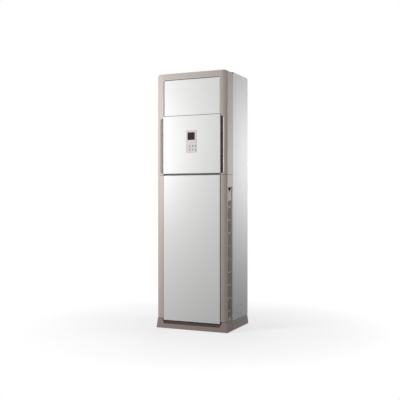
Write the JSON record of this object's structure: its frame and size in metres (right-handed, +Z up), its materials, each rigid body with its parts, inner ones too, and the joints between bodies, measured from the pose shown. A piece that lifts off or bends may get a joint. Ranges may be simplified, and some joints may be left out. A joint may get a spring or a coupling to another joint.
{
  "type": "floor standing air conditioner",
  "caption": "Tall cabinet air conditioner: shutter door over a louvred top outlet, control panel, side intake grilles with filters, blower, coil, and a flared foot it stands on.",
  "frame": {"origin": "on the floor under the middle of the cabinet", "axes": "+Z up, the front faces -Y, +X to the viewer's right"},
  "size_m": [0.55, 0.43, 1.825],
  "materials": {
    "white_plastic": "satin white moulding",
    "taupe_plastic": "satin warm grey moulding",
    "dark_taupe": "warm grey grille and foot",
    "white_steel": "white powder coat",
    "foot_steel": "warm grey paint",
    "zinc_steel": "zinc plated sheet",
    "black_plastic": "matte black",
    "grey_plastic": "matte grey",
    "tinted_window": "gloss near-black tint",
    "button_plastic": "satin pale key",
    "board_green": "printed circuit board",
    "copper_pipe": "drawn copper",
    "aluminium_fins": "bare fins",
    "foam_white": "foam lined tray",
    "filter_mesh": "nylon mesh in a frame"
  },
  "bodies": {
    "root": {"base_pan": "foot_steel", "plinth_cover": "taupe_plastic", "upper_frame": "taupe_plastic", "lower_frame": "taupe_plastic", "control_panel": "white_plastic", "right_side_panel": "white_steel", "left_side_panel": "white_steel", "rear_panel": "zinc_steel", "top_cover": "taupe_plastic", "control_bezel": "taupe_plastic", "display_window": "tinted_window", "display_board": "board_green", "door_motor": "zinc_steel", "outlet_duct": "grey_plastic", "louvre_motor": "zinc_steel", "vane_motor": "zinc_steel", "partition_plate": "zinc_steel", "evaporator_coil": "aluminium_fins", "drain_pan": "foam_white", "gas_pipe": "copper_pipe", "liquid_pipe": "copper_pipe", "scroll_housing": "zinc_steel", "inlet_ring": "zinc_steel", "fan_motor": "black_plastic", "motor_bracket": "zinc_steel", "control_box": "zinc_steel", "control_box_lid": "zinc_steel", "main_board": "board_green", "terminal_block": "foam_white"},
    "outlet_door": {"outlet_door": "white_plastic"},
    "door_drive_shaft": {"door_drive_shaft": "grey_plastic"},
    "lower_panel": {"lower_panel": "white_plastic"},
    "right_intake_grille": {"right_intake_grille": "dark_taupe", "right_air_filter": "filter_mesh"},
    "left_intake_grille": {"left_intake_grille": "dark_taupe", "left_air_filter": "filter_mesh"},
    "louvre_blade_1": {"louvre_blade_1": "white_plastic"},
    "louvre_blade_2": {"louvre_blade_2": "white_plastic"},
    "louvre_blade_3": {"louvre_blade_3": "white_plastic"},
    "louvre_blade_4": {"louvre_blade_4": "white_plastic"},
    "louvre_blade_5": {"louvre_blade_5": "white_plastic"},
    "louvre_blade_6": {"louvre_blade_6": "white_plastic"},
    "louvre_link": {"louvre_link": "black_plastic"},
    "air_vane_1": {"air_vane_1": "black_plastic"},
    "air_vane_2": {"air_vane_2": "black_plastic"},
    "air_vane_3": {"air_vane_3": "black_plastic"},
    "air_vane_4": {"air_vane_4": "black_plastic"},
    "air_vane_5": {"air_vane_5": "black_plastic"},
    "air_vane_6": {"air_vane_6": "black_plastic"},
    "vane_link": {"vane_link": "black_plastic"},
    "blower": {"blower_wheel": "black_plastic", "motor_shaft": "zinc_steel"},
    "button_1": {"button_1": "button_plastic"},
    "button_2": {"button_2": "button_plastic"},
    "button_3": {"button_3": "button_plastic"},
    "button_4": {"button_4": "button_plastic"},
    "button_5": {"button_5": "button_plastic"},
    "button_6": {"button_6": "button_plastic"}
  },
  "joints": [
    {"name": "door_slide", "type": "slide", "parent": "root", "child": "outlet_door", "axis": [0, 0.0797, -0.9968], "range_m": [0, 0.25782]},
    {"name": "door_drive_turn", "type": "hinge", "parent": "root", "child": "door_drive_shaft", "pos_m": [0, -0.151, 1.5], "axis": [1, 0, 0], "range_deg": [0, 986.8]},
    {"name": "lower_panel_tilt", "type": "hinge", "parent": "root", "child": "lower_panel", "pos_m": [0, -0.1945, 1.093], "axis": [-1, 0, 0], "range_deg": [0, 9]},
    {"name": "right_grille_tilt", "type": "hinge", "parent": "root", "child": "right_intake_grille", "pos_m": [0.2655, -0.1575, 0.0765], "axis": [0, 1, 0], "range_deg": [0, 12]},
    {"name": "left_grille_tilt", "type": "hinge", "parent": "root", "child": "left_intake_grille", "pos_m": [-0.2655, -0.1575, 0.0765], "axis": [0, -1, 0], "range_deg": [0, 12]},
    {"name": "louvre_1_tilt", "type": "hinge", "parent": "root", "child": "louvre_blade_1", "pos_m": [0, -0.157, 1.552], "axis": [1, 0, 0], "range_deg": [-40, 40]},
    {"name": "louvre_2_tilt", "type": "hinge", "parent": "root", "child": "louvre_blade_2", "pos_m": [0, -0.157, 1.5928], "axis": [1, 0, 0], "range_deg": [-40, 40]},
    {"name": "louvre_3_tilt", "type": "hinge", "parent": "root", "child": "louvre_blade_3", "pos_m": [0, -0.157, 1.6336], "axis": [1, 0, 0], "range_deg": [-40, 40]},
    {"name": "louvre_4_tilt", "type": "hinge", "parent": "root", "child": "louvre_blade_4", "pos_m": [0, -0.157, 1.6744], "axis": [1, 0, 0], "range_deg": [-40, 40]},
    {"name": "louvre_5_tilt", "type": "hinge", "parent": "root", "child": "louvre_blade_5", "pos_m": [0, -0.157, 1.7152], "axis": [1, 0, 0], "range_deg": [-40, 40]},
    {"name": "louvre_6_tilt", "type": "hinge", "parent": "root", "child": "louvre_blade_6", "pos_m": [0, -0.157, 1.756], "axis": [1, 0, 0], "range_deg": [-40, 40]},
    {"name": "louvre_link_turn", "type": "hinge", "parent": "louvre_blade_4", "child": "louvre_link", "pos_m": [-0.2045, -0.139, 1.6744], "axis": [1, 0, 0], "range_deg": [-40, 40]},
    {"name": "vane_1_swing", "type": "hinge", "parent": "root", "child": "air_vane_1", "pos_m": [-0.1825, -0.095, 1.65], "axis": [0, 0, 1], "range_deg": [-35, 35]},
    {"name": "vane_2_swing", "type": "hinge", "parent": "root", "child": "air_vane_2", "pos_m": [-0.1095, -0.095, 1.65], "axis": [0, 0, 1], "range_deg": [-35, 35]},
    {"name": "vane_3_swing", "type": "hinge", "parent": "root", "child": "air_vane_3", "pos_m": [-0.0365, -0.095, 1.65], "axis": [0, 0, 1], "range_deg": [-35, 35]},
    {"name": "vane_4_swing", "type": "hinge", "parent": "root", "child": "air_vane_4", "pos_m": [0.0365, -0.095, 1.65], "axis": [0, 0, 1], "range_deg": [-35, 35]},
    {"name": "vane_5_swing", "type": "hinge", "parent": "root", "child": "air_vane_5", "pos_m": [0.1095, -0.095, 1.65], "axis": [0, 0, 1], "range_deg": [-35, 35]},
    {"name": "vane_6_swing", "type": "hinge", "parent": "root", "child": "air_vane_6", "pos_m": [0.1825, -0.095, 1.65], "axis": [0, 0, 1], "range_deg": [-35, 35]},
    {"name": "vane_link_turn", "type": "hinge", "parent": "air_vane_4", "child": "vane_link", "pos_m": [0.0365, -0.073, 1.521], "axis": [0, 0, 1], "range_deg": [-35, 35]},
    {"name": "blower_spin", "type": "hinge", "parent": "root", "child": "blower", "pos_m": [0.023, 0.03, 0.39], "axis": [0, 1, 0], "continuous": true},
    {"name": "button_1_press", "type": "slide", "parent": "root", "child": "button_1", "axis": [0, 1, 0], "range_m": [0, 0.0012], "stiffness_N_per_m": 400, "springref_m": -0.0008},
    {"name": "button_2_press", "type": "slide", "parent": "root", "child": "button_2", "axis": [0, 1, 0], "range_m": [0, 0.0012], "stiffness_N_per_m": 400, "springref_m": -0.0008},
    {"name": "button_3_press", "type": "slide", "parent": "root", "child": "button_3", "axis": [0, 1, 0], "range_m": [0, 0.0012], "stiffness_N_per_m": 400, "springref_m": -0.0008},
    {"name": "button_4_press", "type": "slide", "parent": "root", "child": "button_4", "axis": [0, 1, 0], "range_m": [0, 0.0012], "stiffness_N_per_m": 400, "springref_m": -0.0008},
    {"name": "button_5_press", "type": "slide", "parent": "root", "child": "button_5", "axis": [0, 1, 0], "range_m": [0, 0.0012], "stiffness_N_per_m": 400, "springref_m": -0.0008},
    {"name": "button_6_press", "type": "slide", "parent": "root", "child": "button_6", "axis": [0, 1, 0], "range_m": [0, 0.0012], "stiffness_N_per_m": 400, "springref_m": -0.0008}
  ],
  "couplings": [
    {"joint": "door_drive_turn", "follows": "door_slide", "rad_per_m": 66.667},
    {"joint": "louvre_1_tilt", "follows": "louvre_4_tilt", "ratio": 1},
    {"joint": "louvre_2_tilt", "follows": "louvre_4_tilt", "ratio": 1},
    {"joint": "louvre_3_tilt", "follows": "louvre_4_tilt", "ratio": 1},
    {"joint": "louvre_5_tilt", "follows": "louvre_4_tilt", "ratio": 1},
    {"joint": "louvre_6_tilt", "follows": "louvre_4_tilt", "ratio": 1},
    {"joint": "louvre_link_turn", "follows": "louvre_4_tilt", "ratio": -1},
    {"joint": "vane_1_swing", "follows": "vane_4_swing", "ratio": 1},
    {"joint": "vane_2_swing", "follows": "vane_4_swing", "ratio": 1},
    {"joint": "vane_3_swing", "follows": "vane_4_swing", "ratio": 1},
    {"joint": "vane_5_swing", "follows": "vane_4_swing", "ratio": 1},
    {"joint": "vane_6_swing", "follows": "vane_4_swing", "ratio": 1},
    {"joint": "vane_link_turn", "follows": "vane_4_swing", "ratio": -1}
  ]
}
